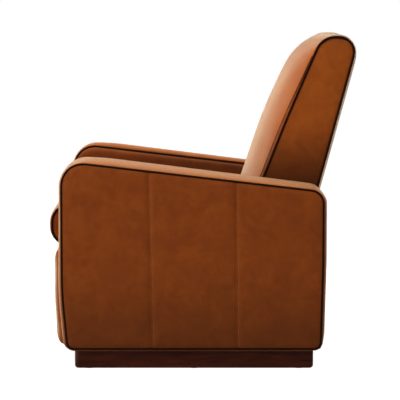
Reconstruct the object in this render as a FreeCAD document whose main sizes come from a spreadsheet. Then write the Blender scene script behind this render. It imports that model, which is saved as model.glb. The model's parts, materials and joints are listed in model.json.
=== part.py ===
# Push-back recliner: padded arms on a plinth, a bullnose seat that swings forward,
# a back that leans between the arms and a footrest on folding links.
# Millimetres. The sitter faces -Y, +X is the sitter's left and +Z is up.
import FreeCAD, Part
import math
import os
import Sketcher
from FreeCAD import Placement, Rotation, Vector

SIZES = {
    # Whole chair
    "overall_width": 800.0,
    "glide_height": 1.0,
    "glide_width": 18.0,
    "glide_inset": 45.0,
    # Plinth
    "plinth_height": 63.0,
    "plinth_board": 22.0,
    "plinth_front": 393.0,
    "plinth_rear": 342.0,
    "plinth_side_inset": 27.0,
    "plinth_edge_radius": 10.0,
    "plinth_corner_radius": 16.0,
    "corner_block": 60.0,
    # Arms, as their welt lines run seen from the side
    "arm_width": 125.0,
    "arm_front": 431.5,
    "arm_rear": 369.5,
    "arm_front_height": 640.7,
    "arm_rear_height": 547.5,
    "arm_front_radius": 68.0,
    "arm_rear_radius": 40.0,
    "arm_foot_radius": 24.0,
    "arm_easing_radius": 900.0,
    "arm_front_tuck": 16.0,
    "arm_rear_tuck": 7.0,
    "arm_tuck_height": 175.0,
    "arm_front_return": 25.0,
    "arm_rear_return": 22.0,
    "arm_front_crown": 9.0,
    "arm_top_crown": 16.0,
    "arm_rear_crown": 15.0,
    "arm_top_padding": 14.0,
    "outer_panel": 8.0,
    "outer_panel_puff": 4.0,
    "inner_panel": 12.0,
    "front_seam": 158.0,
    "rear_seam": 105.0,
    "welt_radius": 3.0,
    "trim_gap": 0.3,
    "arm_post": 28.0,
    "arm_rail": 40.0,
    # Cross members of the base
    "stretcher_thickness": 18.0,
    "stretcher_height": 60.0,
    "front_stretcher_face": 290.0,
    "rear_panel_thickness": 14.0,
    "rear_panel_face": 360.0,
    "rear_panel_drop": 16.0,
    "rear_panel_lip": 6.0,
    "rear_rail_height": 40.0,
    # Seat
    "cushion_side_gap": 4.0,
    "seat_gusset": 7.0,
    "nose_front": 467.0,
    "nose_top": 500.0,
    "nose_bottom": 368.0,
    "nose_radius": 57.0,
    "nose_return": 395.0,
    "seat_step": 30.0,
    "seat_step_radius": 8.0,
    "seat_rear_top": 463.0,
    "seat_rear": 63.0,
    "seat_rear_overhang": 34.0,
    "seat_crown": 8.0,
    "nose_crown": 15.0,
    "seat_board": 28.0,
    "seat_board_depth": 48.0,
    "seat_webbing": 2.0,
    "seat_webbing_width": 60.0,
    # Back, as its welt lines run seen from the side
    "back_gusset": 6.7,
    "back_bottom_rise": 20.0,
    "back_front_lean": 21.48,
    "back_front_knee": 258.0,
    "back_knee_height": 759.0,
    "back_front_top": 370.7,
    "back_rear_top": 482.0,
    "back_rear_lean": 15.15,
    "back_top": 1017.0,
    "back_front_radius": 60.0,
    "back_rear_radius": 50.0,
    "back_knee_radius": 1500.0,
    "back_front_crown": 65.0,
    "back_top_crown": 2.0,
    "back_rear_crown": 17.0,
    "back_cover": 11.0,
    "back_post_depth": 60.0,
    "back_post_width": 24.0,
    "back_post_top": 950.0,
    "back_board": 50.0,
    "back_webbing_pitch": 110.0,
    "back_webbing_first": 500.0,
    # Steel plates: every link is a flat bar, stacked in layers beside the arm
    "plate": 4.0,
    "layer_pitch": 5.5,
    "pin_radius": 5.0,
    "pin_land": 1.0,
    "running_clearance": 0.05,
    "open_clearance": 0.3,
    "link_half_width": 9.0,
    "swing_half_width": 12.0,
    "corner_clip": 0.4142,
    "rail_half_height": 18.0,
    # Swing links that carry the seat
    "swing_length": 120.0,
    "swing_rest": 24.0,
    "seat_pivot_height": 320.0,
    "front_swing_pivot": 200.0,
    "rear_swing_pivot": 60.0,
    "base_rail_overhang": 34.0,
    # Back hinge, its control link and the rod that drives the footrest
    "back_pivot": 262.0,
    "back_pivot_rise": 48.0,
    "back_eye_radius": 14.0,
    "back_arm_angle": 12.0,
    "control_arm": 50.0,
    "control_link": 237.1,
    "control_rest": 73.77,
    "control_play": 0.6,
    "bracket_reach": 200.0,
    "rod_arm": 68.3,
    "rod_play": 3.2,
    # Footrest
    "fold_pivot": 352.0,
    "fold_pivot_drop": 2.0,
    "fold_link_gap": 25.7,
    "fold_angle": 83.0,
    "fold_crank": 32.0,
    "fold_crank_angle": 32.0,
    "unfold_turn": 66.0,
    "guide_half_width": 14.0,
    "cross_tube_width": 16.0,
    "cross_tube_wall": 1.5,
    "bracket_flange": 34.0,
    "bracket_sheet": 3.0,
    "footrest_side_gap": 7.0,
    "footrest_board": 15.0,
    "footrest_board_inset": 11.0,
    "footrest_back": 406.0,
    "footrest_front": 458.0,
    "footrest_top": 363.0,
    "footrest_bottom": 52.0,
    "footrest_front_tuck": 6.0,
    "footrest_top_radius": 28.0,
    "footrest_bottom_radius": 24.0,
    "footrest_crown": 8.0,
}

doc = FreeCAD.newDocument("Recliner")
sheet = doc.addObject("Spreadsheet::Sheet", "Sizes")
for row, (alias, number) in enumerate(SIZES.items(), start=1):
    sheet.set(f"A{row}", str(number))
    sheet.setAlias(f"A{row}", alias)
doc.recompute()


class Size:
    """A length or angle: its number, and the sheet formula that gives it."""

    def __init__(self, value, text):
        self.value = float(value)
        self.text = text

    def __float__(self):
        return self.value

    def __add__(self, other):
        other = as_size(other)
        return Size(self.value + other.value, f"({self.text} + {other.text})")

    def __sub__(self, other):
        other = as_size(other)
        return Size(self.value - other.value, f"({self.text} - {other.text})")

    def __mul__(self, other):
        other = as_size(other)
        return Size(self.value * other.value, f"({self.text} * {other.text})")

    def __truediv__(self, other):
        other = as_size(other)
        return Size(self.value / other.value, f"({self.text} / {other.text})")

    def __radd__(self, other):
        return as_size(other) + self

    def __rsub__(self, other):
        return as_size(other) - self

    def __rmul__(self, other):
        return as_size(other) * self

    def __neg__(self):
        return Size(-self.value, f"(0 - {self.text})")


def as_size(number):
    """Give a plain number the same form as a named size."""
    if isinstance(number, Size):
        return number
    return Size(number, f"({float(number)!r})")


def cosine(angle):
    return Size(math.cos(math.radians(angle.value)), f"cos({angle.text})")


def sine(angle):
    return Size(math.sin(math.radians(angle.value)), f"sin({angle.text})")


def angle_of(slope):
    return Size(math.degrees(math.atan(slope.value)), f"(atan({slope.text}) / 1 deg)")


class NamedSizes:
    """Each size of the sheet by its alias."""

    def __getattr__(self, alias):
        return Size(SIZES[alias], f"Sizes.{alias}")


S = NamedSizes()
nodes = {}


def node(label, thing):
    """Enter a finished piece under the name that it is handed on with."""
    thing.Label = label
    nodes[label] = thing
    return thing


def bind(thing, prop, value):
    thing.setExpression(prop, as_size(value).text)


def place(thing, x, y, z, axis=None, angle=0):
    """Set a piece at a point, turned about an axis, both tied to the sheet."""
    spot = [as_size(value) for value in (x, y, z)]
    turn = Rotation(axis, float(angle)) if axis else Rotation()
    thing.Placement = Placement(Vector(*[value.value for value in spot]), turn)
    for key, value in zip("xyz", spot):
        bind(thing, f"Placement.Base.{key}", value)
    if axis:
        bind(thing, "Placement.Rotation.Angle", angle)


def board(name, x, y, z):
    """A sawn board between a low and a high limit on each axis."""
    box = doc.addObject("Part::Box", name)
    for prop, (low, high) in zip(("Length", "Width", "Height"), (x, y, z)):
        bind(box, prop, high - low)
    place(box, x[0], y[0], z[0])
    return box


def pin(name, x, centre, radius):
    """A round pin along X between two limits."""
    rod = doc.addObject("Part::Cylinder", name)
    bind(rod, "Radius", radius)
    bind(rod, "Height", x[1] - x[0])
    place(rod, x[0], centre[0], centre[1], Vector(0, 1, 0), 90)
    return rod


def union(name, pieces):
    whole = doc.addObject("Part::MultiFuse", name)
    whole.Shapes = pieces
    whole.Refine = True
    return whole


def mirror(name, source):
    other = doc.addObject("Part::Mirroring", name)
    other.Source = source
    other.Normal = Vector(1, 0, 0)
    other.Base = Vector(0, 0, 0)
    return other


def group(name, pieces):
    whole = doc.addObject("Part::Compound", name)
    whole.Links = pieces
    return whole


def both_sides(label, left):
    """One node that holds the left piece and its mirror image."""
    return node(label, group(label, [left, mirror(label + "_right", left)]))


def left_and_right(label, left):
    """Two nodes: the left piece and its mirror image."""
    node(label + "_left", left)
    node(label + "_right", mirror(label + "_right", left))


def solid(label, shape):
    """A sewn or padded form that is built from its side outlines."""
    thing = doc.addObject("Part::Feature", label)
    thing.Shape = shape
    return thing


def new_sketch(body, plane):
    sketch = body.newObject("Sketcher::SketchObject", body.Name + "Sketch")
    for feature in body.Origin.OriginFeatures:
        if feature.Role == plane:
            sketch.AttachmentSupport = [(feature, "")]
    sketch.MapMode = "FlatFace"
    return sketch


def flat(point):
    return Vector(float(point[0]), float(point[1]), 0)


def fix_point(sketch, geo, spot, point):
    """Tie a point of the sketch to its two coordinates in the sheet."""
    for kind, axis, value in zip(("DistanceX", "DistanceY"), (-2, -1), point):
        value = as_size(value)
        if value.value == 0:
            sketch.addConstraint(Sketcher.Constraint("PointOnObject", geo, spot, axis))
            continue
        if value.value < 0:
            value = -value
            rule = Sketcher.Constraint(kind, geo, spot, -1, 1, value.value)
        else:
            rule = Sketcher.Constraint(kind, -1, 1, geo, spot, value.value)
        row = sketch.addConstraint(rule)
        sketch.setExpression(f"Constraints[{row}]", value.text)


def fix_radius(sketch, geo, radius):
    row = sketch.addConstraint(Sketcher.Constraint("Radius", geo, float(radius)))
    sketch.setExpression(f"Constraints[{row}]", as_size(radius).text)


def draw_outline(sketch, points):
    first = sketch.GeometryCount
    count = len(points)
    for n in range(count):
        a, b = points[n], points[(n + 1) % count]
        sketch.addGeometry(Part.LineSegment(flat(a), flat(b)), False)
    for n in range(count):
        after = first + (n + 1) % count
        sketch.addConstraint(Sketcher.Constraint("Coincident", first + n, 2, after, 1))
    for n in range(count):
        fix_point(sketch, first + n, 1, points[n])


def draw_hole(sketch, centre, radius):
    geo = sketch.addGeometry(Part.Circle(flat(centre), Vector(0, 0, 1), float(radius)), False)
    fix_point(sketch, geo, 3, centre)
    fix_radius(sketch, geo, radius)


def draw_slot(sketch, a, b, radius):
    """A straight slot with round ends centred on a and b."""
    start, end, r = flat(a), flat(b), float(radius)
    along = (end - start).normalize()
    turn = math.atan2(along.y, along.x)
    side = Vector(-along.y, along.x, 0) * r
    up = Vector(0, 0, 1)
    quarter = math.pi / 2
    first = sketch.GeometryCount
    sketch.addGeometry(Part.ArcOfCircle(Part.Circle(start, up, r), turn + quarter, turn + 3 * quarter), False)
    sketch.addGeometry(Part.LineSegment(start - side, end - side), False)
    sketch.addGeometry(Part.ArcOfCircle(Part.Circle(end, up, r), turn - quarter, turn + quarter), False)
    sketch.addGeometry(Part.LineSegment(end + side, start + side), False)
    for n in range(4):
        sketch.addConstraint(Sketcher.Constraint("Tangent", first + n, 2, first + (n + 1) % 4, 1))
    fix_point(sketch, first, 3, a)
    fix_point(sketch, first + 2, 3, b)
    fix_radius(sketch, first, radius)
    fix_radius(sketch, first + 2, radius)


def pad(body, sketch, length):
    feature = body.newObject("PartDesign::Pad", body.Name + "Pad")
    feature.Profile = sketch
    bind(feature, "Length", length)
    body.Tip = feature
    return feature


def plate(name, x, thickness, outline, holes=(), slots=()):
    """A flat piece cut to a side outline, with round holes and straight slots."""
    body = doc.addObject("PartDesign::Body", name)
    sketch = new_sketch(body, "YZ_Plane")
    draw_outline(sketch, outline)
    for centre, radius in holes:
        draw_hole(sketch, centre, radius)
    for a, b, radius in slots:
        draw_slot(sketch, a, b, radius)
    pad(body, sketch, thickness)
    place(body, x, 0, 0)
    return body


def link(name, x, start, angle, length, half_width, holes, slots=()):
    """A flat bar with clipped corners, drawn along its length and then turned into place."""
    body = doc.addObject("PartDesign::Body", name)
    sketch = new_sketch(body, "YZ_Plane")
    clip = half_width * S.corner_clip
    near = [(-half_width, clip), (-half_width, -clip), (-clip, -half_width)]
    far = [(length + clip, -half_width), (length + half_width, -clip), (length + half_width, clip)]
    draw_outline(sketch, near + far + [(length + clip, half_width), (-clip, half_width)])
    for distance, radius in holes:
        draw_hole(sketch, (distance, 0), radius)
    for a, b, radius in slots:
        draw_slot(sketch, a, b, radius)
    pad(body, sketch, S.plate)
    place(body, x, start[0], start[1], Vector(1, 0, 0), angle)
    return body


def round_edges(body, radius, chosen):
    """Round the edges of a body whose middle point passes the test."""
    doc.recompute()
    base = body.Tip
    names = []
    for n, edge in enumerate(base.Shape.Edges, start=1):
        middle = edge.valueAt((edge.FirstParameter + edge.LastParameter) / 2)
        if chosen(middle):
            names.append(f"Edge{n}")
    fillet = body.newObject("PartDesign::Fillet", body.Name + "Fillet")
    fillet.Base = (base, names)
    bind(fillet, "Radius", radius)
    body.Tip = fillet
    return body


def polar(centre, reach, angle):
    """The point at a reach from a centre, its angle counted from +Y towards +Z."""
    return (centre[0] + reach * cosine(angle), centre[1] + reach * sine(angle))


def path_edges(x, corners, radii, offsets):
    """Lines and tangent arcs along an open side outline at X = x.

    Each straight run is moved out, to the left of its direction, by its own offset.
    """
    runs = []
    for a, b, out in zip(corners, corners[1:], offsets):
        along = Vector(0, b[0] - a[0], b[1] - a[1]).normalize()
        normal = Vector(0, -along.z, along.y)
        runs.append((Vector(x, *a) + normal * out, Vector(x, *b) + normal * out, along, out))
    edges = []
    last = runs[0][0]
    for (p, _, before, out_a), (q, end, after, out_b), radius in zip(runs, runs[1:], radii):
        turn = before.y * after.z - before.z * after.y
        reach = ((q - p).y * after.z - (q - p).z * after.y) / turn
        corner = p + before * reach
        if radius == 0:
            edges.append(Part.LineSegment(last, corner).toShape())
            last = corner
            continue
        bend = math.acos(max(-1.0, min(1.0, before.dot(after))))
        bow = radius - math.copysign(1.0, turn) * (out_a + out_b) / 2
        cut = bow * math.tan(bend / 2)
        middle = corner + (after - before).normalize() * bow * (1 / math.cos(bend / 2) - 1)
        start, stop = corner - before * cut, corner + after * cut
        edges.append(Part.LineSegment(last, start).toShape())
        edges.append(Part.Arc(start, middle, stop).toShape())
        last = stop
    edges.append(Part.LineSegment(last, runs[-1][1]).toShape())
    return edges


def outline_wire(x, outer, inner=None):
    """Close a side outline with a straight line, or with a second line inside it."""
    first = outer[0].Vertexes[0].Point
    last = outer[-1].Vertexes[-1].Point
    back = [first] if inner is None else [Vector(x, *corner) for corner in reversed(inner)] + [first]
    edges = list(outer)
    for spot in back:
        edges.append(Part.LineSegment(last, spot).toShape())
        last = spot
    return Part.Wire(edges)


def crown_stations(low, high, shoulders):
    """X positions across a padded width, each with its share of the full crown."""
    middle, half = (low + high) / 2, (high - low) / 2
    rows = [(middle - half * reach, share) for reach, share in shoulders]
    rows += [(middle + half * reach, share) for reach, share in reversed(shoulders) if reach]
    return rows


def padded(stations, corners, radii, crowns, inner=None):
    """A padded form: side outlines that swell towards the middle of its width."""
    wires = []
    for x, share in stations:
        outer = path_edges(x, corners, radii, [share * crown for crown in crowns])
        wires.append(outline_wire(x, outer, inner))
    return Part.makeLoft(wires, True, True)


def cut_panel(x, thickness, corners, radii, margin):
    """A flat covered panel that stops a margin inside its welt line."""
    edges = path_edges(x, corners, radii, [-margin] * (len(corners) - 1))
    return Part.Face(outline_wire(x, edges)).extrude(Vector(thickness, 0, 0))


def welt_line(x, corners, radii):
    return path_edges(x, corners, radii, [0.0] * (len(corners) - 1))


def welt(edges, radius):
    """A four-sided cord along a welt line."""
    start = edges[0].Vertexes[0].Point
    along = edges[0].tangentAt(edges[0].FirstParameter)
    across = Vector(1, 0, 0)
    other = along.cross(across)
    ring = []
    for n in range(5):
        angle = math.radians(90 * n)
        ring.append(start + (across * math.cos(angle) + other * math.sin(angle)) * radius)
    return Part.Wire(edges).makePipeShell([Part.makePolygon(ring)], True, False)


def numbers(pairs):
    return [(float(a), float(b)) for a, b in pairs]


# Planes that several pieces share
half_width = S.overall_width / 2
arm_inner = half_width - S.arm_width
floor_line = S.glide_height
body_bottom = S.glide_height + S.plinth_height
boxing_inner = arm_inner + S.inner_panel
boxing_outer = half_width - S.outer_panel - S.outer_panel_puff
cushion_half = arm_inner - S.cushion_side_gap
footrest_half = arm_inner - S.footrest_side_gap
back_axis = (S.back_pivot, S.seat_pivot_height + S.back_pivot_rise)
back_bottom = back_axis[1] + S.back_bottom_rise
rear_panel_top = back_bottom - S.rear_panel_drop


def layer_out(level):
    """Outer face of a layer of plates, counted inwards from the arm."""
    return arm_inner - S.layer_pitch * level


def layer_in(level):
    return layer_out(level) - S.plate


# Plinth
plinth_x = half_width - S.plinth_side_inset
plinth_y = (-S.plinth_front, S.plinth_rear)
side_outline = [
    (plinth_y[0], floor_line),
    (plinth_y[1], floor_line),
    (plinth_y[1], body_bottom),
    (plinth_y[0], body_bottom),
]
plinth_side = plate("plinth_side_left", plinth_x - S.plinth_board, S.plinth_board, side_outline)
side_foot = float(floor_line)
side_middle = float(S.plinth_board) / 2
round_edges(
    plinth_side,
    S.plinth_edge_radius,
    lambda at: math.isclose(at.z, side_foot) and math.isclose(at.x, side_middle),
)
rounded_plan = doc.addObject("PartDesign::Body", "plinth_side_plan")
plan_sketch = new_sketch(rounded_plan, "XY_Plane")
plan_inner = plinth_x - S.plinth_board
plan_outline = [(plan_inner, plinth_y[0]), (plinth_x, plinth_y[0]), (plinth_x, plinth_y[1]), (plan_inner, plinth_y[1])]
draw_outline(plan_sketch, plan_outline)
pad(rounded_plan, plan_sketch, S.plinth_height)
place(rounded_plan, 0, 0, floor_line)
plan_outer = float(plinth_x)
plan_middle = float(S.plinth_height) / 2
round_edges(
    rounded_plan,
    S.plinth_corner_radius,
    lambda at: math.isclose(at.x, plan_outer) and math.isclose(at.z, plan_middle),
)
rounded_side = doc.addObject("Part::MultiCommon", "plinth_side_rounded")
rounded_side.Shapes = [plinth_side, rounded_plan]
left_and_right("plinth_side", rounded_side)
between_sides = (S.plinth_board - plinth_x, plinth_x - S.plinth_board)
plinth_z = (floor_line, body_bottom)
node("plinth_front", board("plinth_front", between_sides, (plinth_y[0], plinth_y[0] + S.plinth_board), plinth_z))
node("plinth_back", board("plinth_back", between_sides, (plinth_y[1] - S.plinth_board, plinth_y[1]), plinth_z))
block_x = plinth_x - S.plinth_board
blocks = []
for end, y_face, inward in (("front", plinth_y[0] + S.plinth_board, 1), ("back", plinth_y[1] - S.plinth_board, -1)):
    block = doc.addObject("PartDesign::Body", f"corner_block_{end}")
    sketch = new_sketch(block, "XY_Plane")
    corner = [(block_x, y_face), (block_x, y_face + inward * S.corner_block), (block_x - S.corner_block, y_face)]
    draw_outline(sketch, corner)
    pad(block, sketch, S.plinth_height)
    place(block, 0, 0, floor_line)
    blocks += [block, mirror(f"corner_block_{end}_right", block)]
node("plinth_corner_blocks", group("plinth_corner_blocks", blocks))
glides = []
for n, y in enumerate((plinth_y[0] + S.glide_inset, (plinth_y[0] + plinth_y[1]) / 2, plinth_y[1] - S.glide_inset)):
    middle = plinth_x - S.plinth_board / 2
    glide_x = (middle - S.glide_width / 2, middle + S.glide_width / 2)
    glide_y = (y - S.glide_width / 2, y + S.glide_width / 2)
    glide = board(f"glide_{n}", glide_x, glide_y, (as_size(0), S.glide_height))
    glides += [glide, mirror(f"glide_{n}_right", glide)]
node("floor_glides", group("floor_glides", glides))

# Arms: the frame, then the padded boxing round it, the two panels and their welts
top_fall = (S.arm_front_height - S.arm_rear_height) / (S.arm_front + S.arm_rear)


def arm_top(y):
    """Height of the wooden top rail under the padding."""
    return S.arm_front_height - (y + S.arm_front) * top_fall - S.arm_top_padding


post_front = S.arm_front_tuck + S.arm_front_return - S.arm_front
post_rear = S.arm_rear - S.arm_rear_tuck - S.arm_rear_return
frame_width = boxing_outer - boxing_inner


def arm_post(name, low, high):
    outline = [
        (low, body_bottom),
        (high, body_bottom),
        (high, arm_top(high) - S.arm_rail),
        (low, arm_top(low) - S.arm_rail),
    ]
    left_and_right(name, plate(name + "_left", boxing_inner, frame_width, outline))


arm_post("arm_front_post", post_front, post_front + S.arm_post)
arm_post("arm_rear_post", post_rear - S.arm_post, post_rear)
rail_outline = [
    (post_front, arm_top(post_front) - S.arm_rail),
    (post_rear, arm_top(post_rear) - S.arm_rail),
    (post_rear, arm_top(post_rear)),
    (post_front, arm_top(post_front)),
]
left_and_right("arm_top_rail", plate("arm_top_rail_left", boxing_inner, frame_width, rail_outline))
bottom_rail_y = (post_front + S.arm_post, post_rear - S.arm_post)
bottom_rail_z = (body_bottom, body_bottom + S.arm_rail)
bottom_rail = board("arm_bottom_rail_left", (boxing_inner, boxing_outer), bottom_rail_y, bottom_rail_z)
left_and_right("arm_bottom_rail", bottom_rail)

front_foot = S.arm_front_tuck - S.arm_front
rear_foot = S.arm_rear - S.arm_rear_tuck
tuck_line = body_bottom + S.arm_tuck_height
arm_corners = numbers([
    (post_front, body_bottom),
    (front_foot, body_bottom),
    (-S.arm_front, tuck_line),
    (-S.arm_front, S.arm_front_height),
    (S.arm_rear, S.arm_rear_height),
    (S.arm_rear, tuck_line + S.arm_tuck_height / 2),
    (rear_foot, body_bottom),
    (post_rear, body_bottom),
])
arm_radii = [
    float(radius) for radius in (
        S.arm_foot_radius, S.arm_easing_radius, S.arm_front_radius,
        S.arm_rear_radius, S.arm_easing_radius, 0,
    )
]
arm_inside = numbers([(post_front, arm_top(post_front)), (post_rear, arm_top(post_rear))])
arm_shoulders = ((1.0, 0.0), (0.82, 0.55), (0.45, 0.92), (0.0, 1.0))
front_crown, rear_crown = float(S.arm_front_crown), float(S.arm_rear_crown)
arm_crowns = [0.0, front_crown, front_crown, float(S.arm_top_crown), rear_crown, rear_crown, 0.0]
arm_stations = crown_stations(float(boxing_inner), float(boxing_outer), arm_shoulders)
boxing = padded(arm_stations, arm_corners, arm_radii, arm_crowns, arm_inside)
left_and_right("arm_boxing", solid("arm_boxing_left", boxing))

trim_margin = float(S.welt_radius + S.trim_gap)
inner_panel = cut_panel(float(arm_inner), float(S.inner_panel), arm_corners, arm_radii, trim_margin)
left_and_right("arm_inner_panel", solid("arm_inner_panel_left", inner_panel))
panel_depth = float(S.outer_panel + S.outer_panel_puff)
flat_panel = cut_panel(float(boxing_outer), panel_depth, arm_corners, arm_radii, trim_margin)
panel_back = float(boxing_outer)
panel_edge = panel_back + float(S.outer_panel)
seams = [-float(S.arm_front), -float(S.front_seam), float(S.rear_seam), float(S.arm_rear)]
sections = []
for a, b in zip(seams, seams[1:]):
    start, end = Vector(panel_edge, a, 0), Vector(panel_edge, b, 0)
    middle = (start + end) / 2 + Vector(float(S.outer_panel_puff), 0, 0)
    sections.append(Part.Arc(start, middle, end).toShape())
puff_edges = list(sections)
corner_a = Vector(panel_back, seams[-1], 0)
corner_b = Vector(panel_back, seams[0], 0)
puff_edges.append(Part.LineSegment(Vector(panel_edge, seams[-1], 0), corner_a).toShape())
puff_edges.append(Part.LineSegment(corner_a, corner_b).toShape())
puff_edges.append(Part.LineSegment(corner_b, Vector(panel_edge, seams[0], 0)).toShape())
puff = Part.Face(Part.Wire(puff_edges)).extrude(Vector(0, 0, float(S.arm_front_height)))
left_and_right("arm_outer_panel", solid("arm_outer_panel_left", flat_panel.common(puff)))
# The outer welt also runs along the foot of the panel, from just short of its own end at the heel
heel_start = (float(rear_foot) - 2 * trim_margin, float(body_bottom))
outer_line = welt_line(float(boxing_outer) + trim_margin, [heel_start] + arm_corners[1:-1], arm_radii[:-1])
inner_line = welt_line(float(boxing_inner) - trim_margin, arm_corners[:-1], arm_radii[:-1])
arm_welts = [welt(outer_line, float(S.welt_radius)), welt(inner_line[1:], float(S.welt_radius))]
left_and_right("arm_welts", solid("arm_welts_left", Part.makeCompound(arm_welts)))

# Cross members between the arms
across = (-arm_inner, arm_inner)
stretcher_z = (body_bottom, body_bottom + S.stretcher_height)
stretcher_y = (-S.front_stretcher_face - S.stretcher_thickness, -S.front_stretcher_face)
node("front_stretcher", board("front_stretcher", across, stretcher_y, stretcher_z))
panel_y = (S.rear_panel_face - S.rear_panel_thickness, S.rear_panel_face)
rail_y = (panel_y[0] - S.stretcher_thickness, panel_y[0])
panel_outline = [
    (panel_y[0], body_bottom),
    (panel_y[1], body_bottom),
    (panel_y[1], rear_panel_top + S.rear_panel_lip),
    (rail_y[0], rear_panel_top + S.rear_panel_lip),
    (rail_y[0], rear_panel_top),
    (panel_y[0], rear_panel_top),
]
node("rear_panel", plate("rear_panel", across[0], across[1] - across[0], panel_outline))
node("rear_stretcher", board("rear_stretcher", across, rail_y, stretcher_z))
top_z = (rear_panel_top - S.rear_rail_height, rear_panel_top)
node("rear_top_rail", board("rear_top_rail", across, rail_y, top_z))

# Pivot points at rest, seen from the side
seat_pivots = [(-S.front_swing_pivot, S.seat_pivot_height), (S.rear_swing_pivot, S.seat_pivot_height)]
base_pivots = []
for y, z in seat_pivots:
    base_pivots.append((y - S.swing_length * sine(S.swing_rest), z - S.swing_length * cosine(S.swing_rest)))
arm_direction = S.back_arm_angle - 90
control_top = polar(back_axis, S.control_arm, arm_direction)
control_foot = polar(control_top, S.control_link, S.control_rest - 180)
rod_rear = polar(back_axis, S.rod_arm, arm_direction)
fold_axis = (-S.fold_pivot, S.seat_pivot_height - S.fold_pivot_drop)
fold_link = (fold_axis[1] - body_bottom - S.fold_link_gap) / sine(S.fold_angle)
long_direction = 180 + S.fold_angle
cross_direction = 180 - S.fold_angle
half_link = fold_link / 2
link_middle = polar(fold_axis, half_link, long_direction)
link_end = polar(fold_axis, fold_link, long_direction)
bracket_top = polar(link_middle, half_link, cross_direction)
guide_pin = polar(link_middle, half_link, -S.fold_angle)
bracket_pin = polar(bracket_top, half_link, long_direction)
crank_direction = S.fold_crank_angle - 90
crank_pin = polar(fold_axis, S.fold_crank, crank_direction)
open_angle = S.fold_angle - S.unfold_turn
guide_top = fold_axis[1] - fold_link * sine(open_angle)
snug = S.pin_radius + S.running_clearance
loose = S.pin_radius + S.open_clearance

# Base rails: a plate on each arm that carries the swing links and the control link
rail_bottom = base_pivots[0][1] - S.rail_half_height
rail_top = base_pivots[0][1] + S.rail_half_height
base_outline = [
    (base_pivots[0][0] - S.base_rail_overhang, rail_bottom),
    (control_foot[0] - S.base_rail_overhang, rail_bottom),
    (control_foot[0] - S.rail_half_height, control_foot[1] - S.rail_half_height),
    (control_foot[0] + S.rail_half_height, control_foot[1] - S.rail_half_height),
    (control_foot[0] + S.rail_half_height, rail_top),
    (base_pivots[0][0] - S.base_rail_overhang, rail_top),
]
base_plate = plate("base_rail_plate", layer_in(0), S.plate, base_outline)
stud_x = (layer_in(1) - S.pin_land, layer_out(0))
base_studs = [base_plate]
for n, spot in enumerate(base_pivots + [control_foot]):
    base_studs.append(pin(f"base_stud_{n}", stud_x, spot, S.pin_radius))
left_and_right("base_rail", union("base_rail_left", base_studs))

# Swing links, front and rear
for end, foot, top_hole in (("front", base_pivots[0], snug), ("rear", base_pivots[1], loose)):
    holes = [(0, snug), (S.swing_length, top_hole)]
    bar = link(f"{end}_swing_link", layer_in(1), foot, 90 - S.swing_rest, S.swing_length, S.swing_half_width, holes)
    both_sides(f"{end}_swing_links", bar)

# Seat rails: a long plate with a guide for the footrest in front and an eye for the back behind
guide_y = (fold_axis[0] - S.guide_half_width, fold_axis[0] + S.guide_half_width)
seat_rail_z = (S.seat_pivot_height - S.rail_half_height, S.seat_pivot_height + S.rail_half_height)
eye_y = (back_axis[0] - S.back_eye_radius, back_axis[0] + S.back_eye_radius)
eye_clip = S.back_eye_radius * S.corner_clip
guide_foot = guide_pin[1] - S.guide_half_width
seat_outline = [
    (guide_y[0], guide_foot),
    (guide_y[1], guide_foot),
    (guide_y[1], seat_rail_z[0]),
    (eye_y[1], seat_rail_z[0]),
    (eye_y[1], back_axis[1] + eye_clip),
    (back_axis[0] + eye_clip, back_axis[1] + S.back_eye_radius),
    (back_axis[0] - eye_clip, back_axis[1] + S.back_eye_radius),
    (eye_y[0], back_axis[1] + eye_clip),
    (eye_y[0], seat_rail_z[1]),
    (guide_y[0], seat_rail_z[1]),
]
guide_slot = ((fold_axis[0], guide_pin[1]), (fold_axis[0], guide_top), loose)
seat_plate = plate("seat_rail_plate", layer_in(4), S.plate, seat_outline, slots=[guide_slot])
seat_studs = [seat_plate]
long_stud = (layer_in(4), layer_out(1) + S.pin_land)
short_stud = (layer_in(4), layer_out(2) + S.pin_land)
for n, (spot, reach) in enumerate([
    (seat_pivots[0], long_stud), (seat_pivots[1], long_stud), (back_axis, short_stud), (fold_axis, short_stud),
]):
    seat_studs.append(pin(f"seat_stud_{n}", reach, spot, S.pin_radius))
left_and_right("seat_rail", union("seat_rail_left", seat_studs))

# Seat deck and cushion
deck_x = (-layer_in(4), layer_in(4))
deck_top = seat_rail_z[1] + S.seat_board / 2
front_board_y = (guide_y[1] + S.running_clearance, guide_y[1] + S.running_clearance + S.seat_board)
deck_z = (deck_top - S.seat_board_depth, deck_top)
node("seat_front_rail", board("seat_front_rail", deck_x, front_board_y, deck_z))
rear_board_y = (S.seat_rear + S.seat_rear_overhang, S.seat_rear + S.seat_rear_overhang + S.seat_board)
node("seat_rear_rail", board("seat_rear_rail", deck_x, rear_board_y, deck_z))
strap_pitch = 2 * layer_in(4) / 5
straps = []
for n in range(-2, 3):
    middle = n * strap_pitch
    strap_x = (middle - S.seat_webbing_width / 2, middle + S.seat_webbing_width / 2)
    strap_z = (deck_top, deck_top + S.seat_webbing)
    straps.append(board(f"seat_strap_{n + 2}", strap_x, (front_board_y[0], rear_board_y[1]), strap_z))
node("seat_webbing", group("seat_webbing", straps))
seat_base = deck_top + S.seat_webbing + S.trim_gap
front_lean = sine(S.back_front_lean) / cosine(S.back_front_lean)
seat_corners = numbers([
    (S.seat_rear, S.seat_rear_top),
    (-S.nose_front, S.nose_top),
    (-S.nose_front, S.nose_bottom),
    (-S.nose_return, S.nose_bottom),
    (-S.nose_return + S.seat_step, seat_base),
    (S.seat_rear - (S.seat_rear_top - seat_base) * front_lean, seat_base),
])
seat_corners.reverse()
seat_radii = [
    float(radius) for radius in (S.seat_step_radius, S.seat_step_radius, S.nose_radius, S.nose_radius)
]
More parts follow.
